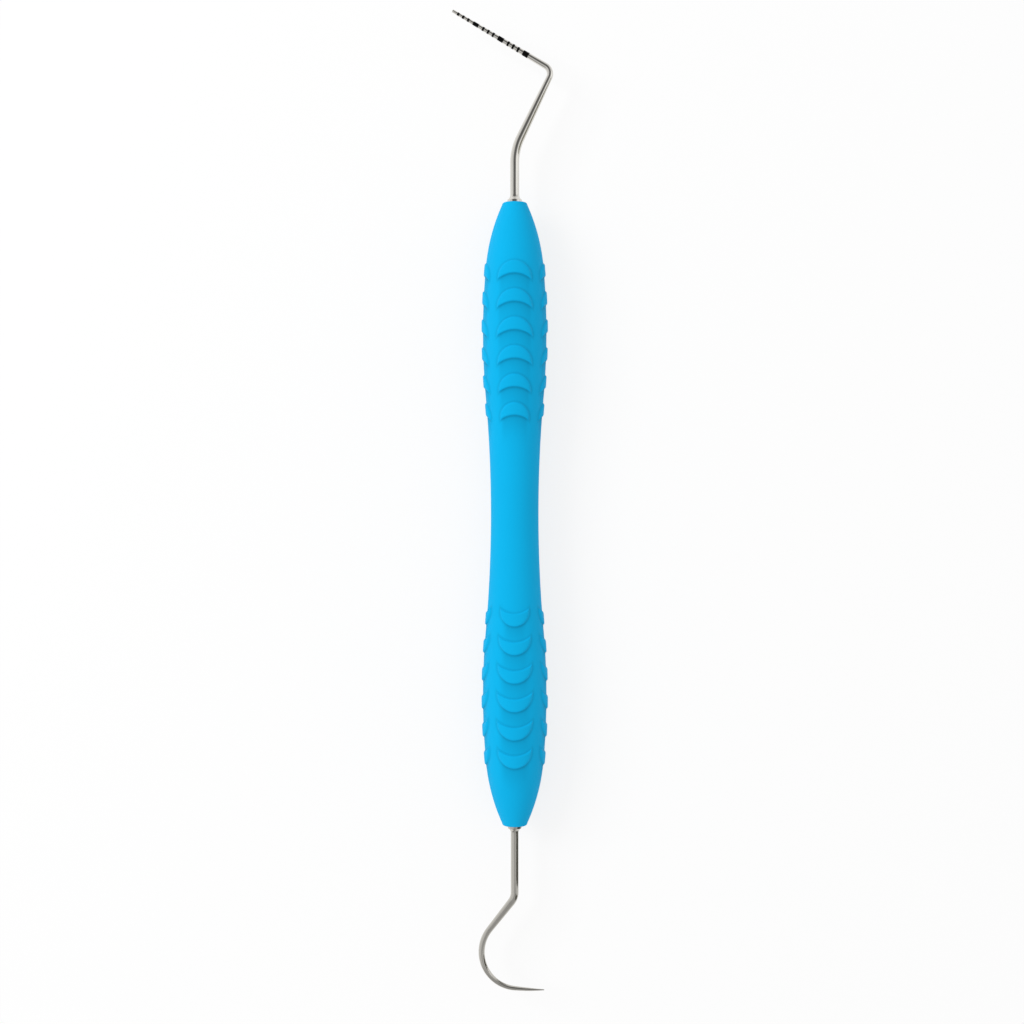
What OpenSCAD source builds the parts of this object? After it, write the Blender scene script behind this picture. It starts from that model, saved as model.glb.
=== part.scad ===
// Double-ended dental instrument: a shepherd's-hook explorer at one end and a banded
// depth probe at the other, both carried by a steel core inside a moulded silicone grip.
//
// The instrument lies on its side. Its long axis runs along Y through the middle of the
// grip, the depth probe towards +Y and the explorer towards -Y. Both ends are bent in the
// XY plane. Inside the modules the long axis is Z; lay_down() turns it onto Y.

/* [Grip] */
// Length of the silicone grip, mouth to mouth
grip_length = 107.3; // [100:0.1:132]
// Diameter at the middle of the waist
waist_d = 8.2; // [7.9:0.1:9.2]
// Diameter at the widest part of each swell, without the pads
swell_d = 10.96; // [10:0.02:13]
// Distance from a mouth back to the widest part of its swell
swell_back = 22.4; // [21:0.1:24]
// Share of the curve between waist and swell that belongs to the hollow of the waist
hollow_share = 0.64; // [0.5:0.01:0.7]
// Distance from a mouth back to where its nose begins to close in
nose_length = 11; // [10.5:0.1:12]
// Diameter of each mouth across the rim
mouth_d = 4; // [3.8:0.1:4.6]
// Rounding of the rim at each mouth
mouth_round = 0.4; // [0.1:0.05:0.45]

/* [Crescent pads] */
// Pads in one row, on each half of the grip
pads_per_row = 6; // [3:1:6]
// Distance from one pad to the next along a row
pad_pitch = 4.82; // [4.4:0.02:5.2]
// Distance from a mouth back to the round edge of the outermost pad
pad_back = 10.4; // [9.6:0.1:12]
// Thickness of a pad's crescent, along the row
pad_thickness = 2.4; // [1.6:0.1:2.8]
// Height of a pad above the grip
pad_height = 0.25; // [0.15:0.01:0.5]
// Radius of the innermost crescent, as a share of the grip's radius there
pad_share = 0.52; // [0.45:0.01:0.56]
// Growth of that share from one pad to the next towards the mouth
pad_share_step = 0.017; // [0:0.001:0.02]
// Radius of a crescent's hollow edge, as a multiple of its round edge
pad_hollow = 1.5; // [1.3:0.05:1.8]

/* [Core tube] */
// Outer diameter of the steel core tube
tube_d = 6; // [5.2:0.1:6.2]
// Wall of the core tube
tube_wall = 0.8; // [0.6:0.05:1]
// Distance from a mouth back to the end of the core tube
tube_back = 7.7; // [7:0.1:9.5]
// Keying grooves round each half of the tube, filled by the silicone
key_grooves = 4; // [1:1:5]
// Width of a keying groove
key_width = 1.5; // [1:0.1:2.5]
// Depth of a keying groove
key_depth = 0.3; // [0.1:0.05:0.4]
// Distance from one keying groove to the next
key_pitch = 8; // [5:0.5:8]

/* [Sockets] */
// Length of a socket's spigot inside the core tube
spigot_length = 12; // [8:0.5:16]
// Length of the socket's flange that seats on the end of the tube
flange_length = 0.8; // [0.5:0.1:1.2]
// Diameter of the socket at its front face
socket_nose_d = 3; // [2.8:0.05:3.1]
// Bonding gap all round a pressed or bonded shank
bond_gap = 0.02; // [0.01:0.01:0.05]
// Gap behind the end of a tang in its bore
tang_end_gap = 0.6; // [0.3:0.1:1.5]

/* [Tip mountings] */
// Diameter of the tang of each tip
tang_d = 2; // [1.6:0.05:2.1]
// Length of the tang of each tip
tang_length = 12; // [8:0.5:15]
// Retaining grooves round each tang
tang_grooves = 5; // [2:1:6]
// Depth of a retaining groove
tang_groove_depth = 0.12; // [0.05:0.01:0.2]
// Width of a retaining groove
tang_groove_width = 0.5; // [0.3:0.05:0.7]
// Length of each tip's collar inside the mouth
collar_hidden = 1.1; // [0.9:0.1:1.5]
// Length of each tip's collar in front of the mouth
collar_shown = 0.5; // [0.3:0.05:1]

/* [Depth probe] */
// Diameter of the probe's collar
probe_collar_d = 2.55; // [2.3:0.05:2.7]
// Diameter of the probe's shank
probe_shank_d = 1.55; // [1.3:0.05:1.6]
// Length of the curve from the probe's collar to its shank
probe_flare = 0.9; // [0.5:0.1:1.5]
// Distance from the mouth to the probe's first bend
probe_bend_out = 9.15; // [7:0.05:12]
// Angle of the first bend
probe_bend = 25.6; // [15:0.1:30]
// Radius of the first bend at its centre line
probe_bend_r = 10; // [6:0.5:12]
// Distance from the first bend to the elbow
probe_lean = 15.2; // [12:0.05:20]
// Diameter just below the elbow
elbow_d = 1.08; // [0.95:0.01:1.1]
// Radius of the elbow at its centre line
elbow_r = 1.6; // [1:0.1:2]
// Rise of the measuring arm above a square crossing of the long axis
arm_rise = 30.65; // [15:0.05:40]
// Length of the measuring arm, from the elbow to the blunt end
arm_length = 20.1; // [18:0.05:24]
// Diameter of the blunt end
probe_end_d = 0.52; // [0.4:0.02:0.6]

/* [Depth bands] */
// Distance from the blunt end to the zero of the millimetre scale
scale_start = 0.18; // [0:0.02:0.4]
// Width of a thin band, centred on its millimetre
line_width = 0.38; // [0.2:0.02:0.6]
// Width of a wide band, centred between two millimetres
block_width = 1.08; // [0.8:0.02:1.2]
// Depth of the grooves that hold the bands
band_depth = 0.06; // [0.03:0.01:0.1]

/* [Explorer] */
// Diameter of the explorer's collar
explorer_collar_d = 2.4; // [2.1:0.05:2.7]
// Diameter of the explorer's shank
explorer_shank_d = 1.34; // [1.2:0.02:1.5]
// Length of the curve from the explorer's collar to its shank
explorer_flare = 0.8; // [0.5:0.1:1.5]
// Distance from the mouth to the explorer's bend
explorer_bend_out = 12.5; // [9:0.1:16]
// Angle of the bend that leads to the hook
explorer_bend = 38.4; // [25:0.1:45]
// Radius of that bend at its centre line
explorer_bend_r = 2.8; // [1.5:0.1:4]
// Distance from that bend to the start of the hook
explorer_lean = 7; // [5:0.1:9]
// Radius of the hook at its centre line
hook_r = 6.26; // [5:0.02:9]
// Diameter at the start of the hook
hook_start_d = 1.1; // [1:0.02:1.2]
// Diameter half way round the hook
hook_middle_d = 1.04; // [0.8:0.02:1.1]
// Diameter at the end of the hook's curve
hook_end_d = 0.76; // [0.5:0.02:0.8]
// Length of the needle after the hook's curve
needle_length = 5.2; // [3:0.1:6]
// Turn of the needle between the hook's curve and its point
needle_turn = 5.8; // [1:0.1:10]
// Angle by which the point falls short of a square crossing of the long axis
needle_droop = 0.3; // [0:0.1:10]
// Diameter of the needle's point
point_d = 0.16; // [0.1:0.02:0.3]

/* [Hidden] */
$fn = 64;
grip_fn = 120;   // facets round the grip
wire_fn = 24;    // facets round the tapered explorer wire
over = 1;        // extra length of cutting tools
bend_lap = 0.05;   // how far a bend reaches into the straight wire at its ends
bend_step = 0.01;  // how much thinner a bend is than the straight wire
rim_steps = 4;     // facets across the rounded rim of a mouth

half_grip = grip_length / 2;
waist_r = waist_d / 2;
swell_r = swell_d / 2;
mouth_r = mouth_d / 2;
swell_z = half_grip - swell_back;
nose_z = half_grip - nose_length;

// The hollow of the waist and the swell are two arcs that meet smoothly.
grip_rise = swell_r - waist_r;
arcs_sum = (swell_z * swell_z + grip_rise * grip_rise) / (2 * grip_rise);
waist_arc = arcs_sum * hollow_share;
swell_arc = arcs_sum - waist_arc;
join_z = swell_z * hollow_share;

// The nose is one arc that leaves the swell smoothly and ends at the mouth.
nose_start_r = swell_r - swell_arc + sqrt(pow(swell_arc, 2) - pow(nose_z - swell_z, 2));
nose_turn = asin((nose_z - swell_z) / swell_arc);
nose_drop = (nose_start_r - mouth_r) * cos(nose_turn) - nose_length * sin(nose_turn);
nose_arc = (pow(nose_length, 2) + pow(nose_start_r - mouth_r, 2)) / (2 * nose_drop);
nose_centre_z = nose_z - nose_arc * sin(nose_turn);
nose_centre_r = nose_start_r - nose_arc * cos(nose_turn);

tube_r = tube_d / 2;
tube_bore_r = tube_r - tube_wall;
tube_end = half_grip - tube_back;
tang_r = tang_d / 2;
bore_r = tang_r + bond_gap;
seat_z = half_grip - collar_hidden;       // where a collar seats on its socket
bore_end = seat_z - tang_length - tang_end_gap;
probe_shank_r = probe_shank_d / 2;
explorer_shank_r = explorer_shank_d / 2;

// Turn of the elbow between the leaning shank and the measuring arm
elbow_turn = 90 + probe_bend - arm_rise;
probe_bend_z = half_grip + probe_bend_out;
probe_bend_cut = probe_bend_r * tan(probe_bend / 2);
elbow_cut = elbow_r * tan(elbow_turn / 2);
arm_straight = arm_length - elbow_cut;

// Bands of the probe: [centre, width], measured from the blunt end
function line_band(mm) = [scale_start + mm, line_width];
function block_band(mm) = [scale_start + mm + 0.5, block_width];
BANDS = [line_band(1), line_band(2), line_band(3), block_band(4), line_band(6), line_band(7),
         line_band(8), block_band(9), line_band(11), line_band(12), line_band(13),
         block_band(14)];

// Radius of the grip's skin at a distance from the middle
function grip_r(z) =
    z < join_z ? waist_r + waist_arc - sqrt(pow(waist_arc, 2) - z * z)
    : z < nose_z ? swell_r - swell_arc + sqrt(pow(swell_arc, 2) - pow(z - swell_z, 2))
    : nose_centre_r + sqrt(pow(nose_arc, 2) - pow(z - nose_centre_z, 2));

// Height on the grip for a share of the way to the rim, closer together at the nose
function skin_height(share) =
    share < 0.6 ? nose_z * share / 0.6
    : nose_z + (nose_length - mouth_round) * (share - 0.6) / 0.4;

// Place on the rounded rim of a mouth, [radius, height], at an angle from its outside
function rim_place(angle) =
    [grip_r(half_grip - mouth_round) - mouth_round * (1 - cos(angle)),
     half_grip - mouth_round * (1 - sin(angle))];

// Radius of the measuring arm at a distance from its blunt end
function arm_r(s) = (probe_end_d + (elbow_d - probe_end_d) * s / arm_straight) / 2;

// ---------------------------------------------------------------- helpers

// Turns the long axis from Z onto Y
module lay_down() {
    rotate([-90, 0, 0])
        children();
}

// Turns a tip from the +Z end to the -Z end, keeping +X on the same side
module at_other_end() {
    mirror([0, 0, 1])
        children();
}

// ------------------------------------------------------------------- grip

// The grip's skin from its middle to a mouth, as [radius, height] points
skin_steps = 28;
skin = [for (i = [0:skin_steps]) let (z = skin_height(i / skin_steps)) [grip_r(z), z],
        for (i = [1:rim_steps]) rim_place(90 * i / rim_steps)];

// Both halves of the grip, grown outwards by a given amount
module grip_outline(grow = 0) {
    upper = [for (point = skin) [point[0] + grow, point[1]]];
    lower = [for (i = [len(upper) - 1:-1:1]) [upper[i][0], -upper[i][1]]];
    polygon(concat([[0, -half_grip]], lower, upper, [[0, half_grip]]));
}

module both_halves() {
    children();
    mirror([0, 0, 1])
        children();
}

// The smooth grip with its two mouths
module grip_body() {
    rotate_extrude($fn = grip_fn)
        grip_outline();
}

// The shape of one crescent, round edge up, with the top of that edge at the origin
module crescent(radius, hollow) {
    difference() {
        translate([0, -radius])
            circle(radius);
        translate([0, -pad_thickness - hollow])
            circle(hollow);
    }
}

// One row of crescents along +Z, cut right through the grip along Y
module crescent_row() {
    for (i = [0:pads_per_row - 1]) {
        edge_z = half_grip - pad_back - i * pad_pitch;
        share = pad_share + (pads_per_row - 1 - i) * pad_share_step;
        radius = share * grip_r(edge_z);
        translate([0, swell_r + over, edge_z])
            rotate([90, 0, 0])
                linear_extrude(2 * (swell_r + over))
                    crescent(radius, radius * pad_hollow);
    }
}

// All pads: on each half, two rows across X and two across Y
module pads() {
    intersection() {
        rotate_extrude($fn = grip_fn)
            grip_outline(pad_height);
        both_halves() {
            crescent_row();
            rotate([0, 0, 90])
                crescent_row();
        }
    }
}

// Everything that the silicone is moulded round
module core_cavity() {
    tube_outside();
    socket_outside();
    at_other_end()
        socket_outside();
    cylinder(r = probe_collar_d / 2, h = half_grip + over);
    at_other_end()
        cylinder(r = explorer_collar_d / 2, h = half_grip + over);
}

module grip_sleeve() {
    color("deepskyblue")
        lay_down()
            difference() {
                union() {
                    grip_body();
                    pads();
                }
                core_cavity();
            }
}

// -------------------------------------------------------------- steel core

// Outside of the core tube, with its keying grooves
module tube_outside() {
    difference() {
        translate([0, 0, -tube_end])
            cylinder(r = tube_r, h = 2 * tube_end);
        both_halves()
            for (i = [0:key_grooves - 1])
                translate([0, 0, tube_end - key_pitch * (i + 0.5) - key_width / 2])
                    difference() {
                        cylinder(r = tube_r + over, h = key_width);
                        cylinder(r = tube_r - key_depth, h = key_width);
                    }
    }
}

module core_tube() {
    color("silver")
        lay_down()
            difference() {
                tube_outside();
                translate([0, 0, -tube_end - over])
                    cylinder(r = tube_bore_r, h = 2 * (tube_end + over));
            }
}

// Flange and cone of a socket, which fill the grip's nose
module socket_outside() {
    translate([0, 0, tube_end])
        cylinder(r = tube_r, h = flange_length);
    translate([0, 0, tube_end + flange_length])
        cylinder(r1 = tube_r, r2 = socket_nose_d / 2, h = seat_z - tube_end - flange_length);
}

module socket() {
    difference() {
        union() {
            socket_outside();
            translate([0, 0, tube_end - spigot_length])
                cylinder(r = tube_bore_r, h = spigot_length);
        }
        translate([0, 0, bore_end])
            cylinder(r = bore_r, h = seat_z - bore_end + over);
    }
}

module probe_socket() {
    color("gainsboro")
        lay_down()
            socket();
}

module explorer_socket() {
    color("gainsboro")
        lay_down()
            at_other_end()
                socket();
}

// -------------------------------------------------------------------- tips

// Tang with its retaining grooves, and the collar
module tip_root(collar_r) {
    groove_pitch = tang_length / (tang_grooves + 1);
    difference() {
        translate([0, 0, seat_z - tang_length])
            cylinder(r = tang_r, h = tang_length);
        for (i = [1:tang_grooves])
            translate([0, 0, seat_z - i * groove_pitch - tang_groove_width / 2])
                difference() {
                    cylinder(r = tang_r + over, h = tang_groove_width);
                    cylinder(r = tang_r - tang_groove_depth, h = tang_groove_width);
                }
    }
    translate([0, 0, seat_z])
        cylinder(r = collar_r, h = collar_hidden + collar_shown);
}

// Radius of the hollow-sided flare between a collar and its shank, a share of the way out
function flare_r(from_r, to_r, length, share) =
    let (step = from_r - to_r, arc = (step * step + length * length) / (2 * step))
    to_r + arc - sqrt(arc * arc - pow(length * (1 - share), 2));

// The flare and the straight shank in front of it, as one turned piece
module turned_shank(collar_r, shank_r, flare, length) {
    steps = 8;
    curve = [for (i = [0:steps]) [flare_r(collar_r, shank_r, flare, i / steps), flare * i / steps]];
    rotate_extrude()
        polygon(concat([[0, 0]], curve, [[shank_r, length], [0, length]]));
}

// A bent length of round wire that starts at the origin along Z and turns towards +X.
// It laps into the straight wire at both ends.
module bend(radius, turn, wire_r) {
    lap_turn = bend_lap / radius * 180 / PI;
    translate([radius, 0, 0])
        mirror([1, 0, 0])
            rotate([90, 0, 0])
                rotate([0, 0, -lap_turn])
                    rotate_extrude(angle = turn + 2 * lap_turn)
                        translate([radius, 0])
                            circle(wire_r - bend_step, $fn = 48);
}

// The measuring arm from its blunt end, which lies at the origin, along +Z
module arm_outside() {
    cylinder(r1 = arm_r(0), r2 = arm_r(arm_straight), h = arm_straight);
}

// Places its children at the probe's blunt end, with Z running back along the arm
module at_blunt_end() {
    translate([0, 0, probe_bend_z])
        rotate([0, probe_bend, 0])
            translate([0, 0, probe_lean])
                rotate([0, -elbow_turn, 0])
                    translate([0, 0, arm_length])
                        mirror([0, 0, 1])
                            children();
}

// Where a band begins and ends along the arm
function band_from(band) = band[0] - band[1] / 2;
function band_to(band) = band[0] + band[1] / 2;

// The length of arm under one band, less a given depth all round
module band_length(band, depth = 0) {
    from = band_from(band);
    to = band_to(band);
    translate([0, 0, from])
        cylinder(r1 = arm_r(from) - depth, r2 = arm_r(to) - depth, h = to - from);
}

// The ring of infill that makes one band, flush with the arm
module band_ring(band) {
    difference() {
        band_length(band);
        band_length(band, band_depth);
    }
}

// The cut that leaves a groove for one band, open to the outside of the arm
module band_cut(band) {
    difference() {
        translate([0, 0, band_from(band)])
            cylinder(r = elbow_d, h = band_to(band) - band_from(band));
        band_length(band, band_depth);
    }
}

module probe_tip() {
    lean_cut = probe_lean - probe_bend_cut - elbow_cut;
    color("lightgray")
        lay_down() {
            tip_root(probe_collar_d / 2);
            translate([0, 0, half_grip + collar_shown])
                turned_shank(probe_collar_d / 2, probe_shank_r, probe_flare,
                             probe_bend_out - collar_shown - probe_bend_cut);
            translate([0, 0, probe_bend_z - probe_bend_cut])
                bend(probe_bend_r, probe_bend, probe_shank_r);
            translate([0, 0, probe_bend_z])
                rotate([0, probe_bend, 0]) {
                    translate([0, 0, probe_bend_cut])
                        cylinder(r1 = probe_shank_r, r2 = elbow_d / 2, h = lean_cut);
                    translate([0, 0, probe_lean - elbow_cut])
                        mirror([1, 0, 0])
                            bend(elbow_r, elbow_turn, elbow_d / 2);
                }
            at_blunt_end()
                difference() {
                    arm_outside();
                    for (band = BANDS)
                        band_cut(band);
                }
        }
}

// One black band, let in flush with the steel
module depth_band(index) {
    color("black")
        lay_down()
            at_blunt_end()
                band_ring(BANDS[index]);
}

// ---------------------------------------------------------------- explorer

// The explorer's wire flares out of its collar, runs along Z, turns towards -X, then
// follows the hook back past the axis and ends in a fine needle almost square to the axis.
lean_start = explorer_bend_r * tan(explorer_bend / 2);
hook_turn = 90 + explorer_bend - needle_turn - needle_droop;
wire_lengths = [explorer_bend_out - collar_shown - explorer_flare - lean_start,
                explorer_bend_r * explorer_bend * PI / 180,
                explorer_lean - lean_start,
                hook_r * hook_turn / 2 * PI / 180,
                hook_r * hook_turn / 2 * PI / 180,
                needle_length];
wire_turns = [0, -explorer_bend, 0, hook_turn / 2, hook_turn / 2, needle_turn];
wire_diameters = [explorer_shank_d, explorer_shank_d, explorer_shank_d, hook_start_d,
                  hook_middle_d, hook_end_d, point_d];
wire_steps = [1, 5, 2, 12, 12, 6];

// A place [x, z, heading] after going part of the way along one stretch of the wire
function step_on(place, length, turn, share) =
    abs(turn) < 0.01
    ? [place[0] + sin(place[2]) * length * share, place[1] + cos(place[2]) * length * share,
       place[2]]
    : let (radius = length * 180 / PI / turn, heading = place[2] + turn * share)
      [place[0] + radius * (cos(place[2]) - cos(heading)),
       place[1] + radius * (sin(heading) - sin(place[2])), heading];

// Where stretch number i of the wire begins
function stretch_start(i) =
    i == 0 ? [0, half_grip + collar_shown + explorer_flare, 0]
    : step_on(stretch_start(i - 1), wire_lengths[i - 1], wire_turns[i - 1], 1);

// Rings of the wire, each [x, z, heading, radius], from its root inside the collar
explorer_collar_r = explorer_collar_d / 2;
flare_start = explorer_collar_r - 0.04;
flare_steps = 6;
wire_rings = [
    [0, half_grip + collar_shown / 2, 0, flare_start],
    for (k = [0:flare_steps - 1])
        [0, half_grip + collar_shown + explorer_flare * k / flare_steps, 0,
         flare_r(flare_start, explorer_shank_r, explorer_flare, k / flare_steps)],
    for (i = [0:len(wire_lengths) - 1])
        for (k = [0:wire_steps[i] - (i == len(wire_lengths) - 1 ? 0 : 1)])
            let (share = k / wire_steps[i],
                 place = step_on(stretch_start(i), wire_lengths[i], wire_turns[i], share),
                 diameter = wire_diameters[i] * (1 - share) + wire_diameters[i + 1] * share)
            [place[0], place[1], place[2], diameter / 2]
];

// A closed tube skin through a list of rings
module sweep(rings) {
    count = len(rings);
    points = [
        for (ring = rings)
            for (k = [0:wire_fn - 1])
                let (angle = 360 * k / wire_fn, across = ring[3] * cos(angle))
                [ring[0] + across * cos(ring[2]), ring[3] * sin(angle),
                 ring[1] - across * sin(ring[2])]
    ];
    sides = [
        for (j = [0:count - 2])
            for (k = [0:wire_fn - 1])
                let (next = (k + 1) % wire_fn)
                [j * wire_fn + k, (j + 1) * wire_fn + k, (j + 1) * wire_fn + next,
                 j * wire_fn + next]
    ];
    first = [for (k = [0:wire_fn - 1]) k];
    last = [for (k = [wire_fn - 1:-1:0]) (count - 1) * wire_fn + k];
    polyhedron(points, concat([first, last], sides), convexity = 6);
}

module explorer_tip() {
    color("lightgray")
        lay_down()
            at_other_end() {
                tip_root(explorer_collar_r);
                sweep(wire_rings);
            }
}

// --------------------------------------------------------------- all nodes

grip_sleeve();
core_tube();
probe_socket();
explorer_socket();
probe_tip();
explorer_tip();
depth_band(0);  // band_01
depth_band(1);  // band_02
depth_band(2);  // band_03
depth_band(3);  // band_04_05
depth_band(4);  // band_06
depth_band(5);  // band_07
depth_band(6);  // band_08
depth_band(7);  // band_09_10
depth_band(8);  // band_11
depth_band(9);  // band_12
depth_band(10);  // band_13
depth_band(11);  // band_14_15
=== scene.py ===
import math

import bmesh
import bpy
from mathutils import Matrix, Vector


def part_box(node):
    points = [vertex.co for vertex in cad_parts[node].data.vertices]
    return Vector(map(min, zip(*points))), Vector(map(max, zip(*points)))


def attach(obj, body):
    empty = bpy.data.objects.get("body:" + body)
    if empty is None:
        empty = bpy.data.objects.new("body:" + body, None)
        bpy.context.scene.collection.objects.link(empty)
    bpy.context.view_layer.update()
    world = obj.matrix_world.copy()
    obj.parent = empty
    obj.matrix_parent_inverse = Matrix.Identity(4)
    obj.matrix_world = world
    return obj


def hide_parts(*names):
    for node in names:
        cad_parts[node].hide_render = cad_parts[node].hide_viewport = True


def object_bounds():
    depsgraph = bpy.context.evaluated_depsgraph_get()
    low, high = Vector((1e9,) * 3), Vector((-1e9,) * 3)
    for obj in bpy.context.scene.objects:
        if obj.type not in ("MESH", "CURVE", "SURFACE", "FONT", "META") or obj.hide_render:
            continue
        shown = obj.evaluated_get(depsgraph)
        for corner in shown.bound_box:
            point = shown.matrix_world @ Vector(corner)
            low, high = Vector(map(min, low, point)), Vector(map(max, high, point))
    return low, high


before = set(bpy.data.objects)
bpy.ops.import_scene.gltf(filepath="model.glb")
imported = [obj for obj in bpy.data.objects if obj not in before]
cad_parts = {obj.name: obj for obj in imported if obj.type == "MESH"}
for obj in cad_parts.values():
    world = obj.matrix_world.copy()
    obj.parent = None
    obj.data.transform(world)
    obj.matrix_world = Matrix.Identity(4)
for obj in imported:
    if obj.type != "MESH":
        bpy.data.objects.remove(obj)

# Looks for a double-ended dental instrument that lies on its side: a shepherd's-hook
# explorer towards -Y, a banded depth probe towards +Y, and a moulded silicone grip between
# them. Shapes are worked out in millimetres and turned to metres as each piece is finished.

MM = 0.001
CAD_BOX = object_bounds()

# ------------------------------------------------------------------ sizes, in millimetres

GRIP_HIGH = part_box("grip_sleeve")[1] / MM
HALF_GRIP = GRIP_HIGH.y
PAD_HEIGHT = 0.25
SWELL_R = GRIP_HIGH.x - PAD_HEIGHT
WAIST_R = 4.1
SWELL_BACK = 22.4
HOLLOW_SHARE = 0.64
NOSE_LENGTH = 11.0
MOUTH_R = 2.0
MOUTH_ROUND = 0.4

PADS_PER_ROW = 6
PAD_PITCH = 4.82
PAD_BACK = 10.4
PAD_THICKNESS = 2.4
PAD_SHARE = 0.52
PAD_SHARE_STEP = 0.017
PAD_HOLLOW = 1.5

# Painted shade on the skin round the pads: a dark painted crease line round each pad and a
# painted shadow past each pad's -Y edge. How deep it is, as a share of the colour, and how far
# it reaches. The shade is deepest beside the edge it starts at, and fades out at the horns.
CREASE_SHADE_DEPTH = 0.14
CREASE_SHADE_REACH = 0.22
SHADE_DEPTH = 0.135
SHADE_REACH = 3.0
HOLLOW_EDGE_DEPTH = 0.13
ROUND_EDGE_DEPTH = 0.07
EDGE_REACH = 0.5
HOLLOW_EDGE_FADE = 0.75
ROUND_EDGE_FADE = 1.4
EDGE_SLACK = 0.2
PAD_INFLUENCE = 9

CORE_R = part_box("core_tube")[1].x / MM
CORE_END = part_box("core_tube")[1].y / MM
SOCKET_NOSE_R = 1.5
FLANGE_LENGTH = 0.8
COLLAR_HIDDEN = 1.1
COLLAR_SHOWN = 0.5
COLLAR_RING = 0.2       # inside the mouth
TANG_R = 1.0
TANG_LENGTH = 12
TANG_GROOVES = 5
TANG_GROOVE_DEPTH = 0.12
TANG_GROOVE_WIDTH = 0.5

PROBE_COLLAR_R = 1.275
PROBE_SHANK_R = 0.775
PROBE_FLARE = 0.9
PROBE_BEND_OUT = 9.15
PROBE_BEND = 25.6
PROBE_BEND_R = 10.0
PROBE_LEAN = 15.2
ELBOW_R = 1.6
ELBOW_WIRE_R = 0.54
ARM_RISE = 30.65
ARM_LENGTH = 20.1
PROBE_END_R = 0.26

EXPLORER_COLLAR_R = 1.2
EXPLORER_SHANK_R = 0.67
EXPLORER_FLARE = 0.8
EXPLORER_BEND_OUT = 12.5
EXPLORER_BEND = 38.4
EXPLORER_BEND_R = 2.8
EXPLORER_LEAN = 7.0
HOOK_R = 6.26
HOOK_START_R = 0.55
HOOK_MIDDLE_R = 0.52
HOOK_END_R = 0.38
NEEDLE_LENGTH = 5.2
NEEDLE_TURN = 5.8
NEEDLE_DROOP = 0.3
NEEDLE_MIDDLE_R = 0.27
POINT_R = 0.09        # the needle keeps its body until near its point

# Broken edges and rounded ends
MOUTH_CHAMFER = 0.08
PROBE_END_ROUND = 0.05
POINT_ROUND = 0.04
COLLAR_EDGE = [(-0.07, 0.0), (-0.02, 0.015), (0.02, 0.05)]    # past its front, and inwards

# Depth bands: how deep they are let in and how proud they stand, with an eased edge
BAND_SUNK = 0.05
BAND_EDGE_PROUD = 0.001
BAND_PROUD = 0.006
BAND_EASE = 0.015

# Depth bands: CAD node, centre and width along the arm, from the start of the scale, which
# lies a little way in from the blunt end
SCALE_START = 0.18
LINE_WIDTH = 0.38
BLOCK_WIDTH = 1.08
BANDS = [("band_01", 1, LINE_WIDTH), ("band_02", 2, LINE_WIDTH), ("band_03", 3, LINE_WIDTH),
         ("band_04_05", 4.5, BLOCK_WIDTH), ("band_06", 6, LINE_WIDTH),
         ("band_07", 7, LINE_WIDTH), ("band_08", 8, LINE_WIDTH),
         ("band_09_10", 9.5, BLOCK_WIDTH), ("band_11", 11, LINE_WIDTH),
         ("band_12", 12, LINE_WIDTH), ("band_13", 13, LINE_WIDTH),
         ("band_14_15", 14.5, BLOCK_WIDTH)]

# How finely round shapes are divided
GRIP_SIDES = 152
SKIN_ROWS = 110
NOSE_ROWS = 34
RIM_ROWS = 6
PAD_COLUMNS = 40
PAD_ROWS = 6
WIRE_SIDES = 48
MEAN_WIRE_R = 0.7
FLARE_ROWS = 10
END_ROWS = 4
MERGE_REACH = 1e-5
STRAIGHT_TURN = 0.01    # degrees: a stretch of wire that turns less is straight

# ------------------------------------------------------------------------ material helpers


def colour(hex_code):
    """A linear RGBA colour from an sRGB hex code."""
    channels = [int(hex_code[i:i + 2], 16) / 255 for i in (1, 3, 5)]
    linear = [c / 12.92 if c <= 0.04045 else ((c + 0.055) / 1.055) ** 2.4 for c in channels]
    return (*linear, 1.0)


def add_node(tree, kind, links=None, **settings):
    """Adds one node; settings are its properties or, with a socket's name, its inputs."""
    node = tree.nodes.new(kind)
    inputs = settings.pop("inputs", {})
    for key, value in settings.items():
        setattr(node, key, value)
    for key, value in inputs.items():
        node.inputs[key].default_value = value
    for key, source in (links or {}).items():
        tree.links.new(source, node.inputs[key])
    return node


def new_material(name):
    """An empty material with its output, ready for nodes."""
    material = bpy.data.materials.new(name)
    material.use_nodes = True
    material.node_tree.nodes.clear()
    output = material.node_tree.nodes.new("ShaderNodeOutputMaterial")
    return material, material.node_tree, output


# ------------------------------------------------------------------------------- materials


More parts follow.
